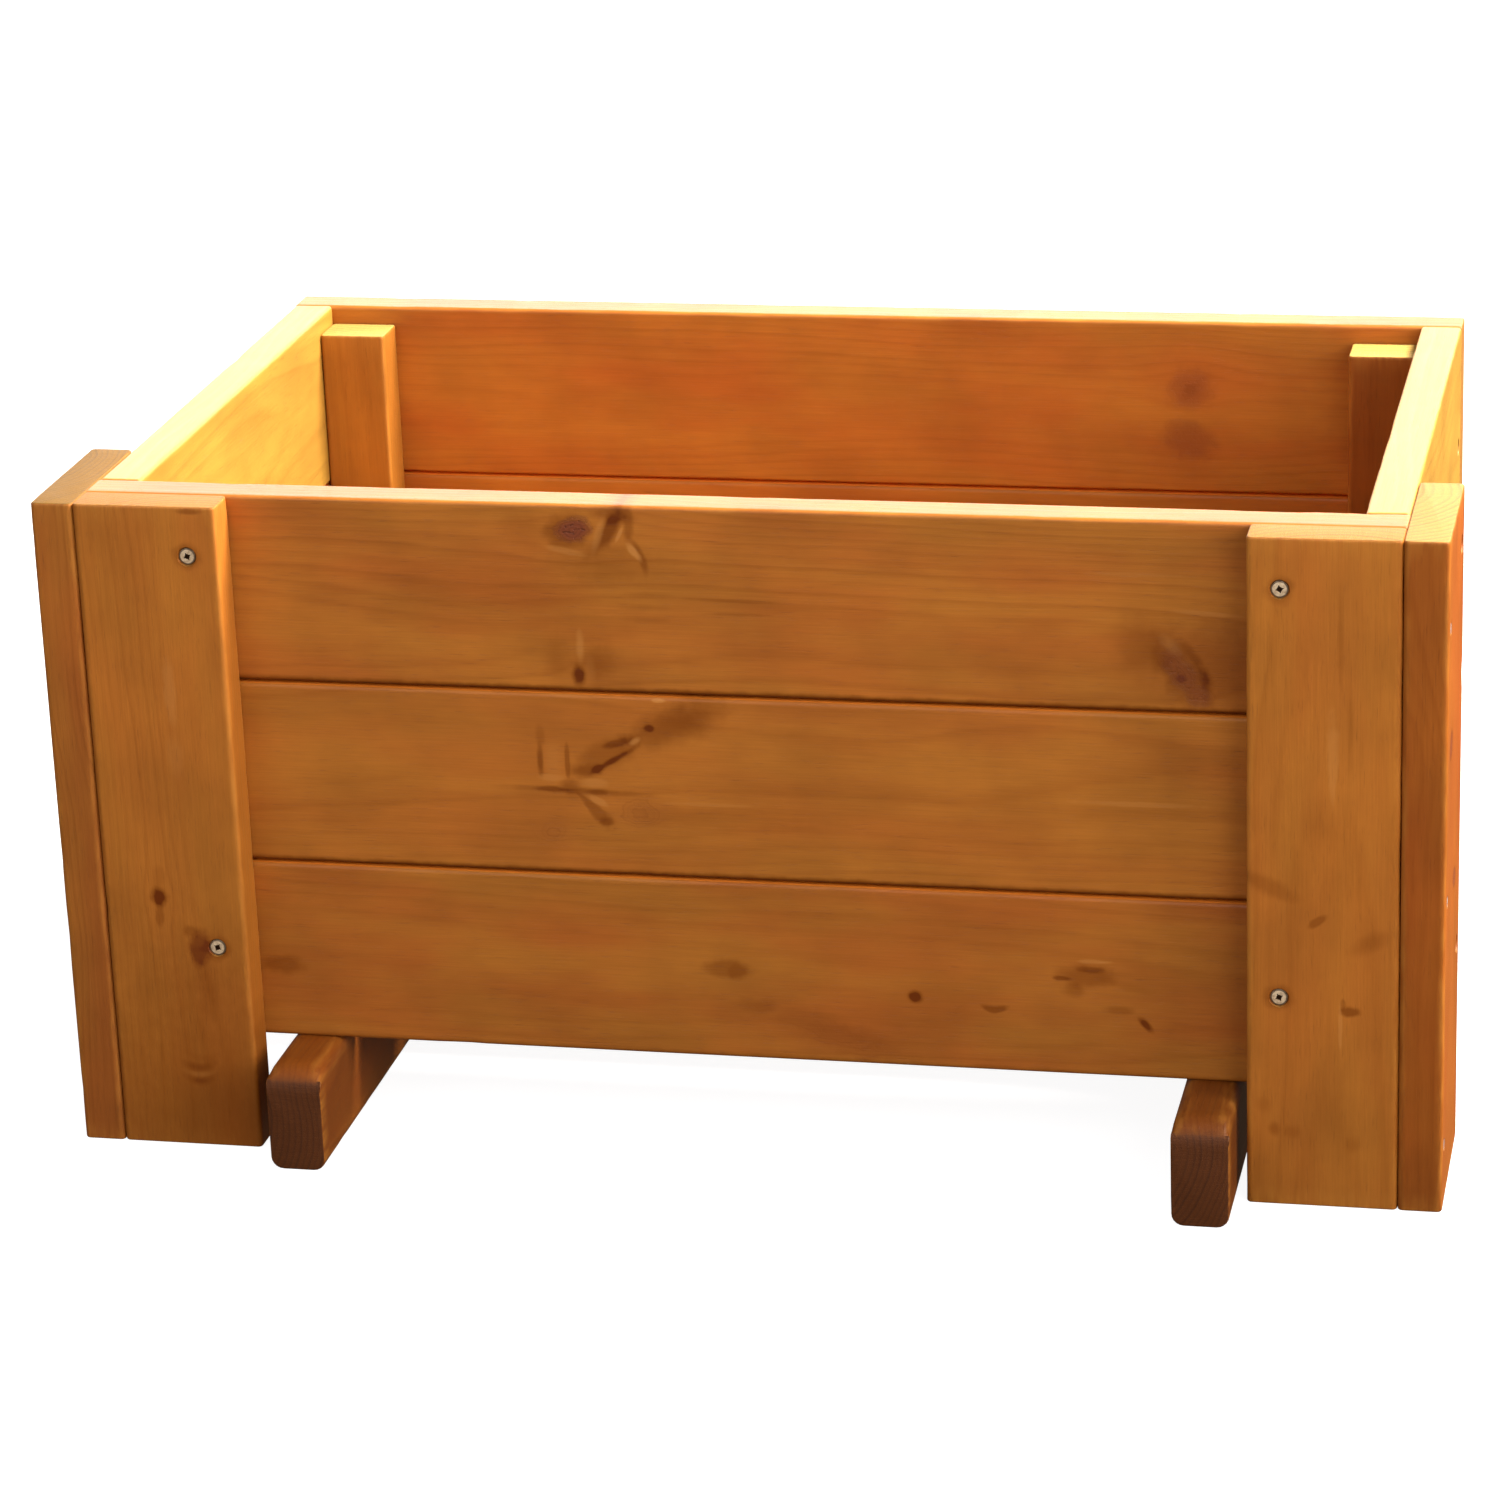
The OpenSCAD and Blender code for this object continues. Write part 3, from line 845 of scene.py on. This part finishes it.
def board(node, slot, axes, cut, marks, r=ARRIS_R, groove=None, tongue=None, nose=None):
    """Builds a board in its CAD node's box, with the holes of the fasteners that it holds."""
    low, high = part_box(node)
    size = high - low
    u_axis, v_axis, w_axis = axes
    height = size[v_axis] - (tongue[1] if tongue else 0)
    points = outline(size[w_axis], height, r, groove, tongue)

    def to_frame(u, a, b):
        place = Vector(low)
        place[u_axis] += u
        place[w_axis] += a
        place[v_axis] += b
        return place

    def top(u):
        return height - nose + math.sqrt(max(0.0, nose ** 2 - max(0.0, nose - u) ** 2))

    seed = random.uniform(0, 100)
    mesh = bar_mesh(node, points, size[u_axis], to_frame, seed, 2 * r, top if nose else None)
    piece = new_object(node + "_wood", mesh)
    drill(piece, low, high)
    store_edges(piece.data, low, size, r)
    if groove:
        shoulder = low[v_axis] + height
        store_joint(piece.data, v_axis, low[v_axis] + JOINT_DEPTH,
                    shoulder - JOINT_DEPTH if tongue else math.inf)
    finish_piece(piece, node, pine(node, low, axes, cut, marks))


# How ragged the mouth of a hole is, as a share of its radius
RAGGED = 0.05


def drill(piece, low, high):
    """Cuts the holes of the fasteners that pass through the board's box."""
    inside = [f for f in FASTENERS if touches(f, low, high)]

    def build(bm):
        for f in inside:
            screw = f.kind == "screw"
            sink, profile = (SCREW_SINK, SCREW_HOLE) if screw else (NAIL_SINK, NAIL_HOLE)
            seed = f.place.x * 50 + f.place.z * 80
            revolve(bm, profile, driven(f, sink), RAGGED, seed)

    if inside:
        cut_away(piece, mesh_of("holes", build))


def touches(fastener, low, high):
    """True if the fastener's axis passes through the box."""
    length = SCREW_L if fastener.kind == "screw" else NAIL_L
    start, end = fastener.place, fastener.place + fastener.way * length
    margin = 0.5 * MM
    return all(min(start[i], end[i]) < high[i] - margin and max(start[i], end[i]) > low[i] + margin
               for i in range(3))


random.seed(7)
FASTENERS = list_fasteners()


def knot(u, v, ru, rv, turn, strength=0.8):
    """A sound knot: a ringed heart in a dark rim, a brown halo and grain that swerves round it."""
    return [Mark(u, v, 1.9 * ru, 1.7 * rv, turn, dark=0.35 * strength, soft=0.8, swerve=1.4),
            Mark(u, v, 1.15 * ru, 1.15 * rv, turn, dark=strength, soft=0.15),
            Mark(u, v, ru, rv, turn, heart=strength, soft=0.15)]


# Middle of a front board's length, width of a leg's face board, and heights of its screws, in mm
FRONT_MIDDLE = 307
LEG_FACE_W = 69.5
LEG_SCREW_LOW, LEG_SCREW_HIGH = 103.5, 299.1


def shaded_joint_line(v, strength):
    """Painted shade along the edge of a board, where it meets the next one."""
    return Mark(FRONT_MIDDLE, v, FAR, 2.2, dark=strength, soft=0.6)


def screw_bruise_and_shade(u, v):
    """Wood that the screw's head has bruised, darkened with painted shade of the countersink round
    the head.
    """
    return Mark(u, v, 5.7, 5.9, dark=0.5, soft=0.45)


# The marks that the photo shows, each list on one board
EYE_KNOT = [
    Mark(213, 79, 10, 8, dark=0.18, soft=0.9), Mark(252, 62, 19, 7, dark=0.26, soft=0.9),
    Mark(231.5, 77.5, 9.5, 8, 15, dark=0.55, soft=0.5, swerve=1.5),
    Mark(234.5, 79, 7.5, 5.2, 12, heart=0.95, soft=0.45),
    Mark(246, 76.5, 8, 1.8, 72, pale=0.35, soft=0.6), Mark(230, 68.5, 9, 1.6, -10, pale=0.3),
    Mark(251.5, 79, 13, 3.6, 57, dark=0.66, soft=0.6, bend=0.4),
    Mark(254, 86.5, 9, 4, dark=0.42, soft=0.6), Mark(256, 77, 4, 1, 65, pale=0.5),
    Mark(260.5, 82, 7, 2.2, 85, dark=0.42, soft=0.6),
    Mark(266, 66.5, 8.5, 1.6, -69, dark=0.45, soft=0.6, bend=-0.8),
    Mark(262.5, 69, 4.5, 1.8, -50, pale=0.6)]
SMALL_KNOT = [
    Mark(241.5, 14.5, 9.5, 7.5, 40, dark=0.42, soft=0.9),
    Mark(223.5, 16, 5, 8, dark=0.28, soft=0.9), Mark(239, 11, 2.4, 6, pale=0.12, soft=0.6),
    Mark(235, 22, 1.7, 7, pale=0.4, soft=0.6),
    Mark(234, 8, 3, 5, dark=0.72, soft=0.5, swerve=1.5)]
OVAL_KNOT = [
    Mark(498, 29, 11, 14, dark=0.30, soft=0.9), Mark(531, 21, 18, 19, dark=0.38, soft=0.9),
    Mark(514.5, 19, 17, 8.5, -56, dark=0.38, soft=0.5, swerve=1.6),
    Mark(514, 20, 12, 5, -56, heart=0.45, soft=0.7),
    Mark(505, 27.5, 8, 3, -75, dark=0.22, soft=0.9),
    Mark(509, 33, 5, 2.4, -40, pale=0.25, soft=0.8),
    Mark(520, 26.5, 9, 2, -56, dark=0.4, soft=0.8),
    Mark(525.5, 14, 7, 2.6, -78, dark=0.42, soft=0.8), Mark(514, 17, 2, 2, dark=0.6, soft=0.8),
    Mark(522.5, 8, 5, 3.5, heart=0.4, soft=0.8)]
SPIKE_KNOTS = [
    Mark(260, 31, 11, 7, heart=0.14, soft=0.9), Mark(218, 20, 8, 5, heart=0.12, soft=0.9),
    Mark(219, 56, 4, 7, pale=0.15, soft=0.6), Mark(218, 47.5, 6, 1.7, pale=0.3),
    Mark(245, 60, 16, 6.3, 27, dark=0.36, soft=0.5), Mark(234.5, 51.5, 6, 3, dark=0.4, soft=0.6),
    Mark(275.5, 75, 21, 8, 24, dark=0.50, soft=0.7, taper=0.3),
    Mark(290, 81, 12, 6, 18, dark=0.26, soft=0.9), Mark(266, 74, 2.6, 1.8, dark=0.6),
    Mark(250.5, 66, 7, 2, 17, dark=0.5), Mark(249, 58, 11, 1.4, 31, dark=0.65, soft=0.6),
    Mark(241, 53.3, 2.8, 2.1, dark=0.75, soft=0.6),
    Mark(259, 67.5, 2.6, 1.3, 30, pale=0.5, soft=0.6),
    Mark(213, 56, 7, 1.4, 90, dark=0.58, soft=0.6), Mark(213.5, 68, 5, 2, 90, dark=0.25, soft=0.6),
    Mark(226, 56, 8, 1.3, 90, dark=0.45), Mark(226.5, 43, 4.2, 3.4, dark=0.45, soft=0.6),
    Mark(229.5, 41.3, 28, 1.4, -1, dark=0.42, soft=0.6), Mark(218, 42, 7, 1.2, dark=0.4),
    Mark(239.5, 41.2, 5, 1.4, dark=0.4), Mark(238.5, 31.7, 10.5, 2.8, -47, dark=0.45, taper=0.5),
    Mark(243.5, 26.5, 3.3, 2.5, dark=0.4), Mark(239.5, 37, 5, 1.6, -25, pale=0.4),
    Mark(238.5, 45.5, 6, 2.4, pale=0.3), Mark(271, 87.5, 3, 1, pale=0.6)]
FRONT_MARKS = {
    "top": EYE_KNOT + SMALL_KNOT + OVAL_KNOT + [
        # Painted shade: the top edge of the board darker
        Mark(FRONT_MIDDLE, 91.5, FAR, 2.4, dark=0.22, soft=0.6),
        Mark(267, 48, 9, 1.3, dark=0.2, soft=0.8), Mark(267, 42, 9, 1.2, dark=0.2, soft=0.8),
        Mark(268, 36, 9, 1.3, dark=0.2, soft=0.8), Mark(200, 45, 45, 14, dark=0.12, soft=0.9),
        shaded_joint_line(0, 0.68),
        Mark(307, 46.5, 22, 0.8, -1, dark=0.22), Mark(311, 40, 14, 0.8, dark=0.2),
        Mark(526, 47.5, 14, 1.2, -3, pale=0.25), Mark(494, 65, 22, 1, pale=0.2)],
    "middle": SPIKE_KNOTS + [
        Mark(302, 30, 36, 5, dark=0.15, soft=0.8), Mark(293, 37, 20, 0.9, pale=0.2),
        Mark(493, 45.5, 27, 1.2, pale=0.25), Mark(480, 41, 50, 2.5, dark=0.12, soft=0.8),
        shaded_joint_line(0, 0.68)],
    "bottom": [
        Mark(299, 45.5, 11, 4.5, dark=0.4), Mark(303, 44, 4.5, 4, dark=0.25),
        Mark(311, 27, 9, 3.5, dark=0.22, soft=0.7),
        Mark(349, 15, 28, 6.5, -19, dark=0.32, heart=0.12, soft=0.8),
        Mark(388, 35.5, 3.4, 2.7, dark=0.85, soft=0.5, swerve=1.5),
        Mark(425.5, 31, 6, 1.8, dark=0.6, bend=0.8),
        Mark(470, 50, 12, 5.5, dark=0.42, soft=0.5, swerve=1.4), Mark(471, 53.5, 6, 1.6, dark=0.45),
        Mark(457.5, 48.5, 4, 1.2, dark=0.6), Mark(463.5, 42.5, 5, 3, dark=0.35, soft=0.6),
        Mark(473, 57.5, 7, 1, pale=0.35), Mark(488, 46, 12, 2, -15, dark=0.15, soft=0.6),
        Mark(484.5, 33.5, 6, 2, dark=0.35, soft=0.5), Mark(496.5, 27, 4.6, 1.9, -50, dark=0.75),
        Mark(80, 37, 10, 4.5, dark=0.5, soft=0.6), shaded_joint_line(0, 0.35)],
}
BACK_MARKS = {
    "top": [Mark(477, 55, 10, 9, 20, dark=0.3, heart=0.3, soft=0.6, swerve=1.5),
            Mark(477, 55, 3, 3, dark=0.3),
            Mark(476, 28, 12, 9, -20, dark=0.35, heart=0.25, soft=0.5)],
    "middle": knot(140, 40, 9, 6, 10, 0.6) + knot(391, 60, 6, 5, 0),
    "bottom": knot(520, 30, 12, 7, -10, 0.6) + knot(230, 52, 5, 4, 0),
}
FRONT_CUTS = {
    "top": Cut(28, -42, 3.4, 0.020, 0.40, 0.75),
    "middle": Cut(60, -60, 3.8, 0.014, 0.30, 0.50),
    "bottom": Cut(40, -50, 4.2, 0.018, 0.26, 0.85),
}
LEG_MARKS = {
    "left": [
        Mark(128.5, 27.5, 4.4, 4, dark=0.8, soft=0.5, swerve=1.5), Mark(120, 27, 7, 2, dark=0.35),
        Mark(137, 27.5, 6, 3, dark=0.2, soft=0.7),
        Mark(103, 46, 9, 5.2, dark=0.62, heart=0.12, soft=0.35),
        Mark(111, 42, 3.5, 3.5, dark=0.42), Mark(86, 48, 14, 4.5, dark=0.25, soft=0.8),
        screw_bruise_and_shade(LEG_SCREW_LOW, 54.5), screw_bruise_and_shade(LEG_SCREW_HIGH, 54.5), shaded_joint_line(0, 0.3),
        # Painted shade: the leg's foot darker, and the skid's shadow on its lower corner
        Mark(20, 42, 70, 45, dark=0.40, soft=0.9), Mark(8, 64, 30, 15, dark=0.26, soft=0.9),
        Mark(45.5, 44, 6, 1.6, 90, dark=0.14, soft=0.9, bend=-0.8),
        Mark(40.5, 41, 7, 2.0, 90, dark=0.45, soft=0.8, bend=-0.9),
        Mark(33.5, 41, 6.5, 2.0, 90, dark=0.48, soft=0.8, bend=-0.9),
        Mark(37, 41, 6, 1.2, 90, pale=0.12, soft=0.8, bend=-0.9),
        Mark(233, 41, 15, 3, pale=0.28), Mark(200, 41, 9, 3.5, pale=0.15, soft=0.6),
        Mark(321, 57, 1.2, 6, dark=0.45, soft=0.6)],
    "right": [
        Mark(158, 10, 13, 4, -65, dark=0.32, soft=0.6), Mark(141.5, 32.5, 5, 1.8, 55, dark=0.45),
        Mark(132, 56, 9, 3.5, 60, dark=0.28, soft=0.7), Mark(98, 47.5, 2.4, 4.2, dark=0.6),
        Mark(101, 44, 3, 1.2, dark=0.3), Mark(38, 13, 3, 2.6, dark=0.4, soft=0.6),
        Mark(37, 21, 3, 3.4, dark=0.25, soft=0.7), Mark(50, 8, 3.5, 3, dark=0.2, soft=0.8),
        Mark(32, 49, 3.5, 3, dark=0.2, soft=0.8), Mark(89, 43, 11, 0.9, pale=0.3),
        screw_bruise_and_shade(LEG_SCREW_LOW, 15), screw_bruise_and_shade(LEG_SCREW_HIGH, 15),
        shaded_joint_line(LEG_FACE_W, 0.3),
        Mark(277, 42, 20, 1.3, dark=0.22, soft=0.6), Mark(234, 46.5, 18, 1.3, dark=0.2, soft=0.6),
        Mark(218, 39, 20, 2.3, pale=0.28, taper=0.5)],
}


def spare_marks(count, length, width):
    """Knots for a board that the front doesn't show, kept clear of its ends."""
    marks = []
    for _ in range(count):
        marks += knot(random.uniform(0.12, 0.88) * length, random.uniform(0.2, 0.8) * width,
                      random.uniform(4, 10), random.uniform(3.5, 7), random.uniform(-30, 30),
                      random.uniform(0.5, 0.85))
    return marks


def spare_cut(width, **given):
    return Cut(random.uniform(0.1, 0.9) * width, random.uniform(-60, -25), random.uniform(2.8, 4.2),
               random.choice((-1, 1)) * random.uniform(0.008, 0.02), **given)


# Knots in each row of the end walls
END_KNOTS = {"top": 0, "middle": 1, "bottom": 1}
# About how wide and long the boards are, in mm, where their knots and rings are random
WALL_W, LEG_W, SIDE_W, BATTEN_W, SKID_W, SLAT_W = 90, 70, 90, 34, 50, 70
END_L, SIDE_L, SKID_L, SLAT_L = 319, 323, 410, 574


def build_walls():
    for row in ("top", "middle", "bottom"):
        edges = {"groove": GROOVE, "tongue": None if row == "top" else TONGUE}
        board(f"front_board_{row}", "wall_boards", ALONG_WALL,
              FRONT_CUTS[row], FRONT_MARKS[row], **edges)
        board(f"back_board_{row}", "wall_boards", ALONG_WALL,
              spare_cut(WALL_W, contrast=0.35, red=0.8, stain=BACK_STAIN), BACK_MARKS[row], **edges)
        for side in ("left", "right"):
            board(f"{side}_end_board_{row}", "end_boards", ALONG_END,
                  spare_cut(WALL_W, contrast=0.3, red=0.2, stain=END_SUNLIT_STAIN),
                  spare_marks(END_KNOTS[row], END_L, WALL_W), **edges)


def build_side(side):
    """The leg, the batten and the skid of one side."""
    board(f"{side}_leg_face_board", "leg_boards", UPRIGHT_FACE,
          spare_cut(LEG_W, contrast=0.28, red=0.4), LEG_MARKS[side], r=LEG_ARRIS_R)
    side_cut = spare_cut(SIDE_W, contrast=0.3, red=0.7, stain=SIDE_STAIN[side],
                         end_tone=SIDE_END_GRAIN[side])
    board(f"{side}_leg_side_board", "leg_boards", UPRIGHT_SIDE, side_cut,
          spare_marks(2, SIDE_L, SIDE_W), r=LEG_ARRIS_R)
    batten_cut = spare_cut(BATTEN_W, contrast=0.4, red=0.3, stain=BATTEN_STAIN[side],
                           end_tone=BATTEN_END_GRAIN)
    board(f"{side}_back_batten", "battens", UPRIGHT_FACE, batten_cut, [])
    skid_cut = spare_cut(SKID_W, contrast=0.5, red=0.6, stain=SKID_STAIN_AND_SHADE[side],
                         end_tone=DARK_END_GRAIN)
    board(f"{side}_skid", "skids", ALONG_END, skid_cut, spare_marks(2, SKID_L, SKID_W),
          r=SKID_R, nose=SKID_NOSE_R)


build_walls()
build_side("left")
build_side("right")
for slat in range(1, SLATS + 1):
    board(f"floor_slat_{slat}", "floor_slats", FLAT, spare_cut(SLAT_W, contrast=0.4, red=0.5),
          spare_marks(2, SLAT_L, SLAT_W))

ZINC_YELLOW = plated("zinc_yellow", (0.92, 0.72, 0.48, 1), (0.60, 0.42, 0.25, 1))
ZINC = plated("zinc", (0.60, 0.60, 0.62, 1), (0.30, 0.29, 0.28, 1))
for group_name in sorted({f.group for f in FASTENERS}):
    members = [f for f in FASTENERS if f.group == group_name]
    fastener_piece(group_name, members, ZINC_YELLOW if members[0].kind == "screw" else ZINC)
# These nails are hidden under the legs and keep their CAD shape
hidden_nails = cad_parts["front_corner_nails"]
hidden_nails.data.materials.clear()
hidden_nails.data.materials.append(ZINC)

# ---- stage ----

FLOOR_SIZE, FLOOR_GLOW = 15, 0.92
FLOOR_GREY = (0.30, 0.30, 0.30, 1)
SKY_LIGHT = (0.46, 0.46, 0.48, 1)
GROUND_LIGHT = (0.12, 0.08, 0.05, 1)


def make_floor():
    def build(bm):
        bmesh.ops.create_grid(bm, x_segments=1, y_segments=1, size=FLOOR_SIZE)
    floor = new_object("floor", mesh_of("floor", build))
    material, _, surface = new_material("floor")
    surface["Base Color"].default_value = FLOOR_GREY
    surface["Roughness"].default_value = 0.9
    surface["Specular IOR Level"].default_value = 0.0
    surface["Emission Color"].default_value = (1, 1, 1, 1)
    surface["Emission Strength"].default_value = FLOOR_GLOW
    floor.data.materials.append(material)
    floor.visible_diffuse = False
    floor.visible_glossy = False


def area_light(name, place, size, radiance, colour, aim=(0, 0, 0.15)):
    """A disc or a (width, height) rectangle that shines with the given radiance."""
    data = bpy.data.lights.new(name, "AREA")
    if isinstance(size, tuple):
        data.shape, data.size, data.size_y = "RECTANGLE", *size
        area = size[0] * size[1]
    else:
        data.shape, data.size = "DISK", size
        area = math.pi * size ** 2 / 4
    data.energy = radiance * math.pi * area
    data.color = colour
    light = new_object(name, data)
    place, aim = Vector(place), Vector(aim)
    turn = (aim - place).to_track_quat("-Z", "Y").to_matrix().to_4x4()
    light.matrix_world = Matrix.Translation(place) @ turn
    light.visible_camera = False


def make_world():
    world = bpy.data.worlds.new("world")
    bpy.context.scene.world = world
    world.use_nodes = True
    n = Nodes(world.node_tree)
    background = world.node_tree.nodes["Background"].inputs
    up = n.split(n.add("ShaderNodeTexCoord").outputs["Generated"])[2]
    n.put(background["Color"], n.mix(n.fade(up, -0.15, 0.10), GROUND_LIGHT, SKY_LIGHT))


make_floor()
make_world()
area_light("key", (1.92, 0.72, 2.94), 1.3, 101, (1.0, 0.96, 0.88))
area_light("side", (3.1, -0.95, 1.3), (1.4, 1.4), 13.5, (1.0, 0.96, 0.90))
area_light("fill", (1.6, -2.3, 1.5), 1.5, 4.6, (1.0, 0.98, 0.95))
area_light("front", (-0.7, -3.0, 1.9), (3.0, 1.8), 1.85, (1.0, 0.98, 0.95))
area_light("backdrop", (-0.5, 3.0, 1.4), (4.6, 1.5), 5.8, (1.0, 0.97, 0.90))
bpy.context.scene.view_settings.view_transform = "Standard"
